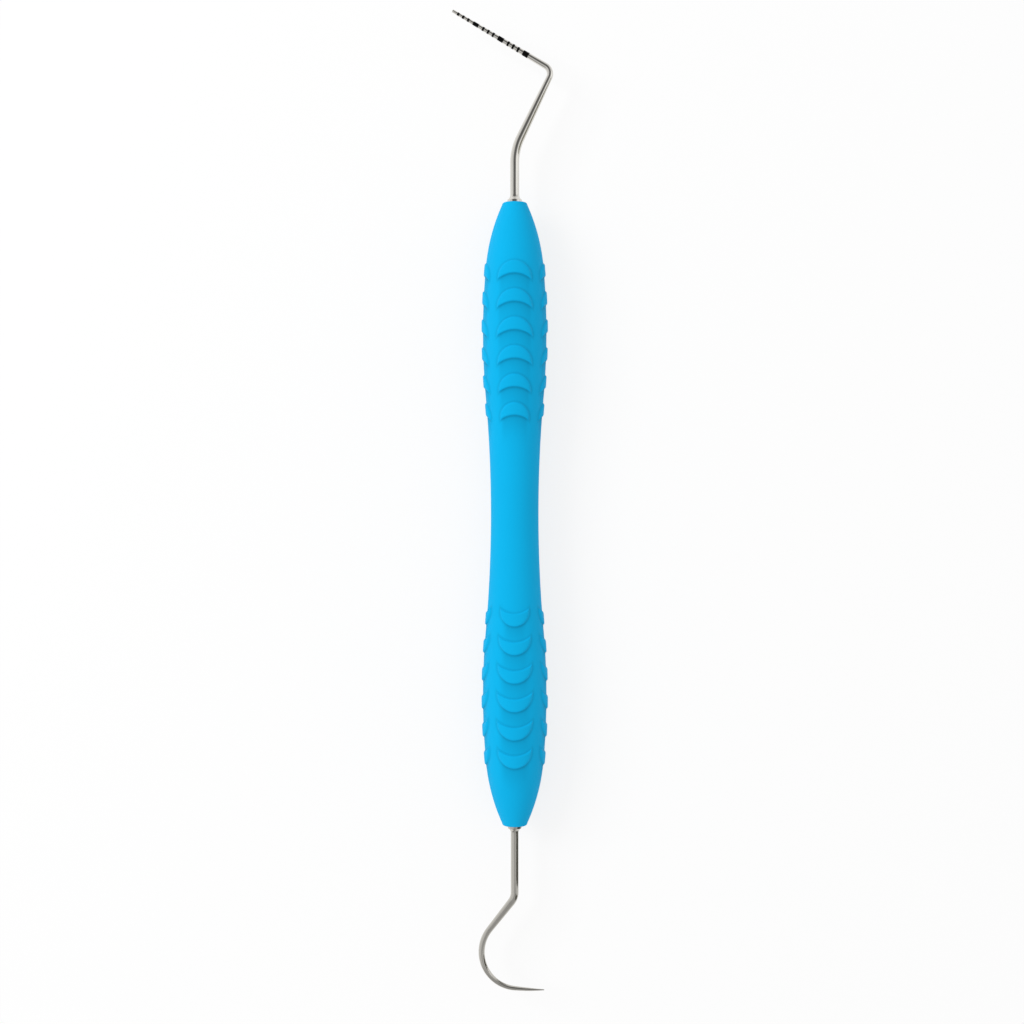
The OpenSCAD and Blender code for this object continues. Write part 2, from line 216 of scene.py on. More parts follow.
def moulded_silicone():
    """Liquid silicone rubber moulded in a finely blasted tool: an even sky blue, almost
    without gloss, with a faint satin grain, and painted shade in the hollows round the pads."""
    material, tree, output = new_material("moulded_silicone")
    place = add_node(tree, "ShaderNodeTexCoord")
    # Clouding of the pigment, about 9 mm across
    cloud = add_node(tree, "ShaderNodeTexNoise", {"Vector": place.outputs["Object"]},
                     inputs={"Scale": 1 / (9 * MM), "Detail": 3.0, "Roughness": 0.55})
    tint = add_node(tree, "ShaderNodeMix", {"Factor": cloud.outputs["Fac"]}, data_type="RGBA")
    tint.inputs["A"].default_value = colour("#04B1E8")
    tint.inputs["B"].default_value = colour("#04B6EE")
    # Painted shade in the hollows round the pads: the hollow attribute darkens the colour there
    hollow = add_node(tree, "ShaderNodeAttribute", attribute_name="hollow")
    keep = add_node(tree, "ShaderNodeMath", {1: hollow.outputs["Fac"]}, operation="SUBTRACT",
                    inputs={0: 1.0})
    tone = add_node(tree, "ShaderNodeHueSaturation",
                    {"Color": tint.outputs["Result"], "Value": keep.outputs["Value"]})
    # Satin grain of the blasted tool, drawn at 0.35 mm where the real one is under 0.1 mm
    grain = add_node(tree, "ShaderNodeTexNoise", {"Vector": place.outputs["Object"]},
                     inputs={"Scale": 1 / (0.35 * MM), "Detail": 4.0, "Roughness": 0.6})
    sheen = add_node(tree, "ShaderNodeMapRange", {"Value": grain.outputs["Fac"]},
                     inputs={"From Min": 0.3, "From Max": 0.7, "To Min": 0.56, "To Max": 0.66})
    bump = add_node(tree, "ShaderNodeBump", {"Height": grain.outputs["Fac"]},
                    inputs={"Strength": 0.12, "Distance": 0.01 * MM})
    skin = add_node(tree, "ShaderNodeBsdfPrincipled",
                    {"Base Color": tone.outputs["Color"], "Roughness": sheen.outputs["Result"],
                     "Normal": bump.outputs["Normal"]},
                    inputs={"IOR": 1.41, "Specular IOR Level": 0.14})
    tree.links.new(skin.outputs["BSDF"], output.inputs["Surface"])
    return material


def ground_stainless(name, dark, light, smooth, rough):
    """Stainless steel wire, ground to its taper and polished along its length: bright with
    dark stripes, broken by fine lines that follow the wire. dark and light are the tones of
    those lines, smooth and rough their roughness."""
    material, tree, output = new_material(name)
    skin = add_node(tree, "ShaderNodeAttribute", attribute_name="skin")
    # Polishing lines 0.12 mm apart round the wire and about 6 mm long
    stretch = add_node(tree, "ShaderNodeMapping", {"Vector": skin.outputs["Vector"]})
    stretch.inputs["Scale"].default_value = (1, 1, 0.02)
    lines = add_node(tree, "ShaderNodeTexNoise", {"Vector": stretch.outputs["Vector"]},
                     inputs={"Scale": 1 / (0.12 * MM), "Detail": 3.0, "Roughness": 0.6})
    # Handling haze, about 3 mm across
    haze = add_node(tree, "ShaderNodeTexNoise", {"Vector": skin.outputs["Vector"]},
                    inputs={"Scale": 1 / (3 * MM), "Detail": 2.0, "Roughness": 0.5})
    both = add_node(tree, "ShaderNodeMath", {0: lines.outputs["Fac"], 1: haze.outputs["Fac"]},
                    operation="MULTIPLY")
    gloss = add_node(tree, "ShaderNodeMapRange", {"Value": both.outputs["Value"]},
                     inputs={"From Min": 0.1, "From Max": 0.45, "To Min": smooth,
                             "To Max": rough})
    tone = add_node(tree, "ShaderNodeMix", {"Factor": lines.outputs["Fac"]}, data_type="RGBA")
    tone.inputs["A"].default_value = colour(dark)
    tone.inputs["B"].default_value = colour(light)
    bump = add_node(tree, "ShaderNodeBump", {"Height": lines.outputs["Fac"]},
                    inputs={"Strength": 0.2, "Distance": 0.004 * MM})
    steel = add_node(tree, "ShaderNodeBsdfPrincipled",
                     {"Base Color": tone.outputs["Result"], "Roughness": gloss.outputs["Result"],
                      "Normal": bump.outputs["Normal"]}, inputs={"Metallic": 1.0})
    tree.links.new(steel.outputs["BSDF"], output.inputs["Surface"])
    return material


def turned_stainless():
    """Stainless steel turned on a lathe and left as cut: fine rings round the axis and a
    soft grey gloss."""
    material, tree, output = new_material("turned_stainless")
    place = add_node(tree, "ShaderNodeTexCoord")
    # Tool marks 0.15 mm apart along the axis
    squeeze = add_node(tree, "ShaderNodeMapping", {"Vector": place.outputs["Object"]})
    squeeze.inputs["Scale"].default_value = (0.03, 1, 0.03)
    rings = add_node(tree, "ShaderNodeTexNoise", {"Vector": squeeze.outputs["Vector"]},
                     inputs={"Scale": 1 / (0.15 * MM), "Detail": 2.0, "Roughness": 0.6})
    gloss = add_node(tree, "ShaderNodeMapRange", {"Value": rings.outputs["Fac"]},
                     inputs={"From Min": 0.3, "From Max": 0.7, "To Min": 0.26, "To Max": 0.4})
    bump = add_node(tree, "ShaderNodeBump", {"Height": rings.outputs["Fac"]},
                    inputs={"Strength": 0.4, "Distance": 0.01 * MM})
    steel = add_node(tree, "ShaderNodeBsdfPrincipled",
                     {"Roughness": gloss.outputs["Result"], "Normal": bump.outputs["Normal"]},
                     inputs={"Base Color": colour("#C9C7C2"), "Metallic": 1.0})
    tree.links.new(steel.outputs["BSDF"], output.inputs["Surface"])
    return material


def black_infill():
    """Black resin baked into the etched bands of the probe: near black, matt, and slightly
    mottled where it was wiped back to the steel."""
    material, tree, output = new_material("black_resin_infill")
    place = add_node(tree, "ShaderNodeTexCoord")
    # Mottling about 0.25 mm across
    mottle = add_node(tree, "ShaderNodeTexNoise", {"Vector": place.outputs["Object"]},
                      inputs={"Scale": 1 / (0.25 * MM), "Detail": 3.0, "Roughness": 0.6})
    tone = add_node(tree, "ShaderNodeMix", {"Factor": mottle.outputs["Fac"]}, data_type="RGBA")
    tone.inputs["A"].default_value = colour("#010101")
    tone.inputs["B"].default_value = colour("#050506")
    gloss = add_node(tree, "ShaderNodeMapRange", {"Value": mottle.outputs["Fac"]},
                     inputs={"From Min": 0.3, "From Max": 0.7, "To Min": 0.5, "To Max": 0.7})
    resin = add_node(tree, "ShaderNodeBsdfPrincipled",
                     {"Base Color": tone.outputs["Result"], "Roughness": gloss.outputs["Result"]},
                     inputs={"IOR": 1.5, "Specular IOR Level": 0.1})
    tree.links.new(resin.outputs["BSDF"], output.inputs["Surface"])
    return material


def pale_table():
    """A plain white table top. The eye sees it near white with a faint shadow; other light
    finds a plain white matt surface."""
    material, tree, output = new_material("pale_table")
    rays = add_node(tree, "ShaderNodeLightPath")
    seen = add_node(tree, "ShaderNodeMath", {0: rays.outputs["Is Camera Ray"],
                                             1: rays.outputs["Is Glossy Ray"]},
                    operation="MAXIMUM")
    seen = add_node(tree, "ShaderNodeMath", {0: seen.outputs["Value"],
                                             1: rays.outputs["Is Transmission Ray"]},
                    operation="MAXIMUM")
    matt = add_node(tree, "ShaderNodeBsdfDiffuse", inputs={"Color": (0.8, 0.8, 0.8, 1)})
    faint = add_node(tree, "ShaderNodeBsdfDiffuse", inputs={"Color": (0.22, 0.22, 0.22, 1)})
    glow = add_node(tree, "ShaderNodeEmission", inputs={"Color": (1, 1, 1, 1), "Strength": 0.78})
    bright = add_node(tree, "ShaderNodeAddShader",
                      {0: faint.outputs["BSDF"], 1: glow.outputs["Emission"]})
    top = add_node(tree, "ShaderNodeMixShader",
                   {0: seen.outputs["Value"], 1: matt.outputs["BSDF"],
                    2: bright.outputs["Shader"]})
    tree.links.new(top.outputs["Shader"], output.inputs["Surface"])
    return material


# --------------------------------------------------------------------------- mesh helpers


def finish_piece(bm, name, material, nodes, sharp_angle=40):
    """Turns a finished shape to metres and makes it a piece that stands for CAD nodes."""
    bmesh.ops.scale(bm, vec=(MM, MM, MM), verts=bm.verts)
    mesh = bpy.data.meshes.new(name)
    bm.to_mesh(mesh)
    bm.free()
    mesh.shade_smooth()
    mesh.set_sharp_from_angle(angle=math.radians(sharp_angle))
    mesh.materials.append(material)
    piece = bpy.data.objects.new(name, mesh)
    bpy.context.scene.collection.objects.link(piece)
    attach(piece, "root")
    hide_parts(*nodes)
    return piece


def lathe(bm, outline, steps):
    """Spins a closed outline of (radius, height) points round the Y axis."""
    verts = [bm.verts.new((radius, height, 0)) for radius, height in outline]
    edges = [bm.edges.new(pair) for pair in zip(verts, verts[1:] + verts[:1])]
    bmesh.ops.spin(bm, geom=verts + edges, cent=(0, 0, 0), axis=(0, 1, 0), dvec=(0, 0, 0),
                   angle=math.tau, steps=steps, use_merge=True)


# --------------------------------------------------------------------------------- sleeve

SWELL_Y = HALF_GRIP - SWELL_BACK
NOSE_Y = HALF_GRIP - NOSE_LENGTH
GRIP_RISE = SWELL_R - WAIST_R
ARCS_SUM = (SWELL_Y ** 2 + GRIP_RISE ** 2) / (2 * GRIP_RISE)
WAIST_ARC = ARCS_SUM * HOLLOW_SHARE
SWELL_ARC = ARCS_SUM - WAIST_ARC
JOIN_Y = SWELL_Y * HOLLOW_SHARE
NOSE_START_R = SWELL_R - SWELL_ARC + math.sqrt(SWELL_ARC ** 2 - (NOSE_Y - SWELL_Y) ** 2)
NOSE_TURN = math.asin((NOSE_Y - SWELL_Y) / SWELL_ARC)
NOSE_DROP = ((NOSE_START_R - MOUTH_R) * math.cos(NOSE_TURN)
             - NOSE_LENGTH * math.sin(NOSE_TURN))
NOSE_ARC = (NOSE_LENGTH ** 2 + (NOSE_START_R - MOUTH_R) ** 2) / (2 * NOSE_DROP)
NOSE_CENTRE_Y = NOSE_Y - NOSE_ARC * math.sin(NOSE_TURN)
NOSE_CENTRE_R = NOSE_START_R - NOSE_ARC * math.cos(NOSE_TURN)


def grip_r(y):
    """Radius of the grip's skin at a distance from its middle."""
    y = abs(y)
    if y < JOIN_Y:
        return WAIST_R + WAIST_ARC - math.sqrt(WAIST_ARC ** 2 - y * y)
    if y < NOSE_Y:
        return SWELL_R - SWELL_ARC + math.sqrt(SWELL_ARC ** 2 - (y - SWELL_Y) ** 2)
    return NOSE_CENTRE_R + math.sqrt(NOSE_ARC ** 2 - (y - NOSE_CENTRE_Y) ** 2)


def skin_half():
    """One half of the grip's skin from its middle to the rounded rim, as (radius, height)."""
    rim_y = HALF_GRIP - MOUTH_ROUND
    places = [NOSE_Y * i / SKIN_ROWS for i in range(SKIN_ROWS)]
    places += [NOSE_Y + (rim_y - NOSE_Y) * i / NOSE_ROWS for i in range(NOSE_ROWS + 1)]
    points = [(grip_r(y), y) for y in places]
    rim_r = grip_r(rim_y) - MOUTH_ROUND
    turns = [math.radians(90 * i / RIM_ROWS) for i in range(1, RIM_ROWS + 1)]
    return points + [(rim_r + MOUTH_ROUND * math.cos(turn), rim_y + MOUTH_ROUND * math.sin(turn))
                     for turn in turns]


def bore_half(collar_r):
    """One half of the sleeve's inside from the collar back to halfway down the core tube."""
    seat_y = HALF_GRIP - COLLAR_HIDDEN
    return [(collar_r + MOUTH_CHAMFER, HALF_GRIP), (collar_r, HALF_GRIP - MOUTH_CHAMFER),
            (collar_r, seat_y), (SOCKET_NOSE_R, seat_y), (CORE_R, CORE_END + FLANGE_LENGTH),
            (CORE_R, CORE_END / 2)]


def pad_arc(round_r, grow, side, share):
    """A place (u, v) on a crescent's edge. side is 1 on the round edge and 0 on the hollow
    one, share runs from -1 to 1 between the horns, and grow moves the edge outwards."""
    hollow_r = round_r * PAD_HOLLOW
    outer_r = round_r + grow
    inner_r = hollow_r - grow
    apart = PAD_THICKNESS + hollow_r - round_r
    horn_v = (apart ** 2 + outer_r ** 2 - inner_r ** 2) / (2 * apart)
    horn_u = math.sqrt(outer_r ** 2 - horn_v ** 2)
    if side > 0.5:
        turn = share * (math.pi - math.acos(horn_v / outer_r))
        return outer_r * math.sin(turn), outer_r * math.cos(turn) - round_r
    turn = share * math.asin(horn_u / inner_r)
    return inner_r * math.sin(turn), inner_r * math.cos(turn) - PAD_THICKNESS - hollow_r


# Cross-section of a pad's wall and of the thin skirt round it: how far outside its nominal
# edge, and how high above the skin
PAD_TOP = (-0.46, PAD_HEIGHT)
PAD_WALL = [(-0.33, 0.244), (-0.24, 0.215), (-0.16, 0.15), (-0.08, 0.06), (0.0, 0.015),
            (0.12, 0.006), (0.30, 0.005), (0.50, 0.004), (0.80, -0.004), (0.10, -0.60)]


def pad_place(index):
    """Where a pad's round edge is tallest, along the grip, and that edge's radius."""
    edge_y = HALF_GRIP - PAD_BACK - index * PAD_PITCH
    share = PAD_SHARE + (PADS_PER_ROW - 1 - index) * PAD_SHARE_STEP
    return edge_y, share * grip_r(edge_y)


def crescent_pad(index):
    """One moulded crescent, wrapped on the grip's skin on the +Z side of the +Y half."""
    edge_y, round_r = pad_place(index)
    bm = bmesh.new()
    along = bm.verts.layers.float.new("along")
    across = bm.verts.layers.float.new("across")
    bmesh.ops.create_grid(bm, x_segments=PAD_COLUMNS, y_segments=PAD_ROWS, size=1)
    for vert in bm.verts:
        vert[along] = vert.co.x
        vert[across] = (vert.co.y + 1) / 2
        hollow = Vector(pad_arc(round_r, PAD_TOP[0], 0, vert[along]))
        outer = Vector(pad_arc(round_r, PAD_TOP[0], 1, vert[along]))
        flat = hollow.lerp(outer, vert[across])
        vert.co = (flat.x, flat.y, PAD_TOP[1])
    bmesh.ops.remove_doubles(bm, verts=bm.verts, dist=MERGE_REACH)
    bmesh.ops.recalc_face_normals(bm, faces=bm.faces)
    rim = [edge for edge in bm.edges if edge.is_boundary]
    for grow, height in PAD_WALL:
        out = bmesh.ops.extrude_edge_only(bm, edges=rim)
        for vert in (item for item in out["geom"] if isinstance(item, bmesh.types.BMVert)):
            flat = pad_arc(round_r, grow, vert[across], vert[along])
            vert.co = (flat[0], flat[1], height)
        rim = [item for item in out["geom"] if isinstance(item, bmesh.types.BMEdge)
               and item.is_boundary]
    bmesh.ops.holes_fill(bm, edges=rim, sides=0)
    for vert in bm.verts:
        u, v, height = vert.co
        y = edge_y + v
        vert.co = (u, y, math.sqrt((grip_r(y) + height) ** 2 - u * u))
    bmesh.ops.recalc_face_normals(bm, faces=bm.faces)
    bm.verts.layers.float.remove(bm.verts.layers.float["across"])
    bm.verts.layers.float.remove(bm.verts.layers.float["along"])
    return bm


def painted_pad_shade(place):
    """How much painted shade darkens the colour at a place on the sleeve: a fine painted crease
    line round each pad, and a soft painted shadow that starts at the pad's -Y edge and fades
    out beyond it."""
    u = min(abs(place.x), abs(place.z))
    height = math.hypot(place.x, place.z) - grip_r(place.y)
    crease_shade, shade = 0.0, 0.0
    for index in range(PADS_PER_ROW):
        edge_y, round_r = pad_place(index)
        hollow_r = round_r * PAD_HOLLOW
        v = abs(place.y) - edge_y
        if abs(v) > PAD_INFLUENCE:
            continue
        outside = max(math.hypot(u, v + round_r) - round_r,
                      hollow_r - math.hypot(u, v + PAD_THICKNESS + hollow_r))
        # Painted crease shade, darkest right at the pad's edge
        crease_shade = max(crease_shade, CREASE_SHADE_DEPTH * math.exp(-(outside / CREASE_SHADE_REACH) ** 2))
        horn_u = pad_arc(round_r, 0, 1, 1)[0]
        if outside < -EDGE_SLACK or u > horn_u:
            continue
        if place.y > 0:
            past = math.sqrt(hollow_r ** 2 - u * u) - hollow_r - PAD_THICKNESS - v
            near, fade = HOLLOW_EDGE_DEPTH, HOLLOW_EDGE_FADE
        else:
            past = v - (math.sqrt(max(round_r ** 2 - u * u, 0)) - round_r)
            near, fade = ROUND_EDGE_DEPTH, ROUND_EDGE_FADE
        # Painted shadow that falls past the pad's -Y edge
        if past > -EDGE_SLACK:
            past = max(past, 0)
            side = min((horn_u - u) / fade, 1)
            depth = (near * math.exp(-past / EDGE_REACH)
                     + SHADE_DEPTH * math.exp(-(past / SHADE_REACH) ** 2))
            shade = max(shade, depth * side * side * (3 - 2 * side))
    rise = min(max(height / PAD_HEIGHT, 0), 1)
    return (crease_shade + shade) * (1 - rise) ** 1.5


def grip_sleeve(material):
    """The silicone sleeve with its 48 crescent pads."""
    bm = bmesh.new()
    upper = skin_half()
    outline = [(r, -y) for r, y in reversed(upper[1:])] + upper
    outline += bore_half(PROBE_COLLAR_R)
    outline += [(r, -y) for r, y in reversed(bore_half(EXPLORER_COLLAR_R))]
    lathe(bm, outline, GRIP_SIDES)
    bmesh.ops.recalc_face_normals(bm, faces=bm.faces)
    row = bmesh.new()
    for index in range(PADS_PER_ROW):
        pad = crescent_pad(index)
        mesh = bpy.data.meshes.new("pad")
        pad.to_mesh(mesh)
        pad.free()
        row.from_mesh(mesh)
        bpy.data.meshes.remove(mesh)
    half = list(row.verts) + list(row.edges) + list(row.faces)
    copy = bmesh.ops.duplicate(row, geom=half)["geom"]
    verts = [item for item in copy if isinstance(item, bmesh.types.BMVert)]
    faces = [item for item in copy if isinstance(item, bmesh.types.BMFace)]
    bmesh.ops.scale(row, vec=(1, -1, 1), verts=verts)
    bmesh.ops.reverse_faces(row, faces=faces)
    mesh = bpy.data.meshes.new("pads")
    row.to_mesh(mesh)
    row.free()
    for _ in range(4):
        bm.from_mesh(mesh)
        mesh.transform(Matrix.Rotation(math.radians(90), 4, "Y"))
    bpy.data.meshes.remove(mesh)
    # Painted shade round the pads, kept on each vertex for the material
    hollow = bm.verts.layers.float.new("hollow")
    for vert in bm.verts:
        vert[hollow] = painted_pad_shade(vert.co)
    return finish_piece(bm, "silicone_sleeve", material, ["grip_sleeve"])


# ----------------------------------------------------------------------------------- tips


def flare_r(from_r, to_r, length, share):
    """Radius of the hollow-sided flare between a collar and its shank."""
    step = from_r - to_r
    arc = (step * step + length * length) / (2 * step)
    return to_r + arc - math.sqrt(arc * arc - (length * (1 - share)) ** 2)


def wire_rings(start, stretches):
    """Rings (x, y, heading, radius) along a bent wire. A stretch is its length, its turn
    towards +X in degrees, its radius at the far end and its number of steps."""
    rings = [start]
    for length, turn, end_r, steps in stretches:
        x, y, heading, start_r = rings[-1]
        for i in range(1, steps + 1):
            share = i / steps
            now = heading + math.radians(turn) * share
            if abs(turn) < STRAIGHT_TURN:
                place = (x + math.sin(heading) * length * share,
                         y + math.cos(heading) * length * share)
            else:
                bend_r = length / math.radians(turn)
                place = (x + bend_r * (math.cos(heading) - math.cos(now)),
                         y + bend_r * (math.sin(now) - math.sin(heading)))
            rings.append((*place, now, start_r + (end_r - start_r) * share))
    return rings


def ring_place(ring):
    """Matrix that puts a unit circle round Z on a ring, facing along the wire."""
    x, y, heading, radius = ring
    return (Matrix.Translation((x, y, 0)) @ Matrix.Rotation(-heading, 4, "Z")
            @ Matrix.Rotation(math.radians(-90), 4, "X")
            @ Matrix.Diagonal((radius,) * 3).to_4x4())


def round_end(ring, edge_r, steps):
    """Rings that round off the end of a wire."""
    x, y, heading, radius = ring
    rings = []
    for i in range(1, steps + 1):
        turn = math.radians(90 * i / steps)
        out = edge_r * math.sin(turn)
        rings.append((x + math.sin(heading) * out, y + math.cos(heading) * out, heading,
                      radius - edge_r * (1 - math.cos(turn))))
    return rings


def sweep_wire(rings):
    """A closed wire through its rings. The place on its skin, in metres, is kept for the
    material: across the wire as on a mean radius of 0.7 mm, and along it."""
    bm = bmesh.new()
    skin = bm.verts.layers.float_vector.new("skin")
    bmesh.ops.create_circle(bm, cap_ends=False, segments=WIRE_SIDES, radius=1)
    bmesh.ops.transform(bm, matrix=ring_place(rings[0]), verts=bm.verts)
    loop = list(bm.edges)
    along = 0.0
    bmesh.ops.contextual_create(bm, geom=loop)
    for before, ring in zip([rings[0]] + rings, rings):
        along += math.hypot(ring[0] - before[0], ring[1] - before[1])
        if ring is not rings[0]:
            out = bmesh.ops.extrude_edge_only(bm, edges=loop)
            verts = [item for item in out["geom"] if isinstance(item, bmesh.types.BMVert)]
            loop = [edge for edge in bm.edges
                    if edge.verts[0] in set(verts) and edge.verts[1] in set(verts)]
            bmesh.ops.transform(bm, matrix=ring_place(ring) @ ring_place(before).inverted(),
                                verts=verts)
        else:
            verts = list(bm.verts)
        back = ring_place(ring).inverted()
        for vert in verts:
            local = back @ vert.co
            vert[skin] = (local.x * MEAN_WIRE_R * MM, local.y * MEAN_WIRE_R * MM, along * MM)
    bmesh.ops.contextual_create(bm, geom=loop)
    bmesh.ops.recalc_face_normals(bm, faces=bm.faces)
    return bm


def tang_rings():
    """Rings of the grooved tang that sits in the socket, from its inner end to its collar."""
    seat_y = HALF_GRIP - COLLAR_HIDDEN
    rings = [(0, seat_y - TANG_LENGTH, 0, TANG_R)]
    for index in range(TANG_GROOVES, 0, -1):
        middle = seat_y - index * TANG_LENGTH / (TANG_GROOVES + 1)
        near, far = middle - TANG_GROOVE_WIDTH / 2, middle + TANG_GROOVE_WIDTH / 2
        rings += [(0, near, 0, TANG_R), (0, near, 0, TANG_R - TANG_GROOVE_DEPTH),
                  (0, far, 0, TANG_R - TANG_GROOVE_DEPTH), (0, far, 0, TANG_R)]
    return rings + [(0, seat_y, 0, TANG_R)]


def collar_rings(collar_r, shank_r, flare):
    """Rings of a collar with a broken edge and of the flare in front of it."""
    front = HALF_GRIP + COLLAR_SHOWN
    rings = [(0, HALF_GRIP - inside, 0, collar_r) for inside in (COLLAR_HIDDEN, COLLAR_RING)]
    rings += [(0, front + past, 0, collar_r - inside) for past, inside in COLLAR_EDGE]
    rings += [(0, front + flare * i / FLARE_ROWS, 0,
               flare_r(collar_r, shank_r, flare, i / FLARE_ROWS))
              for i in range(1, FLARE_ROWS + 1)]
    return rings


ELBOW_TURN = 90 + PROBE_BEND - ARM_RISE
PROBE_BEND_CUT = PROBE_BEND_R * math.tan(math.radians(PROBE_BEND / 2))
ELBOW_CUT = ELBOW_R * math.tan(math.radians(ELBOW_TURN / 2))
ARM_STRAIGHT = ARM_LENGTH - ELBOW_CUT


def probe_tip(material):
    """The depth probe, from its tang to its blunt end. Returns the ring where that end
    begins to round off."""
    rings = tang_rings() + collar_rings(PROBE_COLLAR_R, PROBE_SHANK_R, PROBE_FLARE)
    stretches = [
        (PROBE_BEND_OUT - COLLAR_SHOWN - PROBE_FLARE - PROBE_BEND_CUT, 0, PROBE_SHANK_R, 6),
        (PROBE_BEND_R * math.radians(PROBE_BEND), PROBE_BEND, PROBE_SHANK_R, 14),
        (PROBE_LEAN - PROBE_BEND_CUT - ELBOW_CUT, 0, ELBOW_WIRE_R, 14),
        (ELBOW_R * math.radians(ELBOW_TURN), -ELBOW_TURN, ELBOW_WIRE_R, 22),
        (ARM_STRAIGHT - PROBE_END_ROUND, 0, PROBE_END_R, 24)]
    rings += wire_rings(rings[-1], stretches)[1:]
    end = rings[-1]
    rings += round_end(end, PROBE_END_ROUND, END_ROWS)
    bm = sweep_wire(rings)
    finish_piece(bm, "probe_wire", material, ["probe_tip"])
    return end


def depth_bands(material, arm_end):
    """The black bands round the measuring arm, each a thin ring just proud of the steel."""
    x, y, heading, _ = arm_end
    tip = Vector((x + math.sin(heading) * PROBE_END_ROUND,
                  y + math.cos(heading) * PROBE_END_ROUND, 0))
    back = (Matrix.Translation(tip) @ Matrix.Rotation(-heading, 4, "Z")
            @ Matrix.Rotation(math.pi, 4, "Z"))
    for node, centre, width in BANDS:
        bm = bmesh.new()
        near, far = SCALE_START + centre - width / 2, SCALE_START + centre + width / 2
        radius = [PROBE_END_R + (ELBOW_WIRE_R - PROBE_END_R) * s / ARM_STRAIGHT
                  for s in (near, far)]
        outline = [(radius[0] - BAND_SUNK, near), (radius[0] + BAND_EDGE_PROUD, near),
                   (radius[0] + BAND_PROUD, near + BAND_EASE),
                   (radius[1] + BAND_PROUD, far - BAND_EASE),
                   (radius[1] + BAND_EDGE_PROUD, far), (radius[1] - BAND_SUNK, far)]
        lathe(bm, outline, WIRE_SIDES)
        bmesh.ops.recalc_face_normals(bm, faces=bm.faces)
        bmesh.ops.transform(bm, matrix=back, verts=bm.verts)
        finish_piece(bm, node + "_infill", material, [node])


def explorer_tip(material):
    """The shepherd's-hook explorer, made towards +Y and then turned over to the -Y end."""
    rings = tang_rings() + collar_rings(EXPLORER_COLLAR_R, EXPLORER_SHANK_R, EXPLORER_FLARE)
    lean_start = EXPLORER_BEND_R * math.tan(math.radians(EXPLORER_BEND / 2))
    half_turn = (90 + EXPLORER_BEND - NEEDLE_TURN - NEEDLE_DROOP) / 2
    stretches = [
        (EXPLORER_BEND_OUT - COLLAR_SHOWN - EXPLORER_FLARE - lean_start, 0,
         EXPLORER_SHANK_R, 8),
        (EXPLORER_BEND_R * math.radians(EXPLORER_BEND), -EXPLORER_BEND, EXPLORER_SHANK_R, 14),
        (EXPLORER_LEAN - lean_start, 0, HOOK_START_R, 8),
        (HOOK_R * math.radians(half_turn), half_turn, HOOK_MIDDLE_R, 28),
        (HOOK_R * math.radians(half_turn), half_turn, HOOK_END_R, 28),
        (NEEDLE_LENGTH / 2, NEEDLE_TURN / 2, NEEDLE_MIDDLE_R, 8),
        (NEEDLE_LENGTH / 2 - POINT_ROUND, NEEDLE_TURN / 2, POINT_R, 8)]
    rings += wire_rings(rings[-1], stretches)[1:]
    rings += round_end(rings[-1], POINT_ROUND, END_ROWS)
    bm = sweep_wire(rings)
    bmesh.ops.scale(bm, vec=(1, -1, 1), verts=bm.verts)
    bmesh.ops.reverse_faces(bm, faces=bm.faces)
    finish_piece(bm, "explorer_wire", material, ["explorer_tip"])


# ---------------------------------------------------------------------------------- object

SILICONE = moulded_silicone()
POLISHED = ground_stainless("polished_stainless", "#CECBC4", "#E9E6E0", 0.1, 0.22)
SATIN = ground_stainless("satin_stainless", "#BBB8B1", "#D2CFC8", 0.13, 0.22)
TURNED = turned_stainless()
INFILL = black_infill()

grip_sleeve(SILICONE)
ARM_END = probe_tip(POLISHED)
depth_bands(INFILL, ARM_END)
explorer_tip(SATIN)

for node_name in ("core_tube", "probe_socket", "explorer_socket"):
    for material_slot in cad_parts[node_name].material_slots:
        material_slot.material = TURNED

# --------------------------------------------------------------------------- table and light

TABLE_REACH = 3        # metres from its middle to each edge
ROOM_LEVEL = 0.78      # what polished metal sees of the studio, before its patches
SOFT_LEVEL = 0.7       # the even light on matt surfaces
CAMERA_PLACE = (-0.00047, 0.00475, 0.29425)
CAMERA_SHIFT = -0.025

# Patches of the studio that polished metal sees: where they lie, the cosines of the angle
# from there at which they fade in and are full, and their levels outside and inside
STUDIO_PATCHES = [
    ((-0.05, 0.5, 0.865), 0.72, 0.93, 1.0, 0.17),    # dark opening overhead
    ((0.0, -0.25, 0.97), 0.89, 0.99, 1.0, 0.68),     # the shade in front of it
    ((0.87, 0.0, 0.5), 0.86, 0.98, 1.0, 1.55),       # bright panel, high on the right
    ((0.3, -0.95, 0.0), 0.18, 0.50, 1.0, 0.64),      # dull wall at the explorer's end
    ((-0.5, -0.86, 0.1), 0.70, 0.95, 1.0, 0.76)]     # its corner, duller still


def table_top(material):
    """A large flat table top that the grip's pads rest on."""
    bm = bmesh.new()
    bmesh.ops.create_grid(bm, x_segments=1, y_segments=1, size=TABLE_REACH)
    bmesh.ops.translate(bm, vec=(0, 0, CAD_BOX[0].z), verts=bm.verts)
    mesh = bpy.data.meshes.new("table_top")
    bm.to_mesh(mesh)
    bm.free()
    mesh.materials.append(material)
    floor = bpy.data.objects.new("table_top", mesh)
    bpy.context.scene.collection.objects.link(floor)


def area_light(name, direction, distance, size, level):
    """A square lamp that faces the object. level is the brightness it gives a white matt
    surface that faces it."""
    lamp = bpy.data.lights.new(name, "AREA")
    lamp.shape = "SQUARE"
    lamp.size = size
    lamp.energy = level * math.pi ** 2 * distance ** 2
    holder = bpy.data.objects.new(name, lamp)
    facing = Vector(direction).normalized()
    holder.location = facing * distance
    holder.rotation_mode = "QUATERNION"
    holder.rotation_quaternion = facing.to_track_quat("Z", "Y")
    holder.visible_glossy = False
    bpy.context.scene.collection.objects.link(holder)


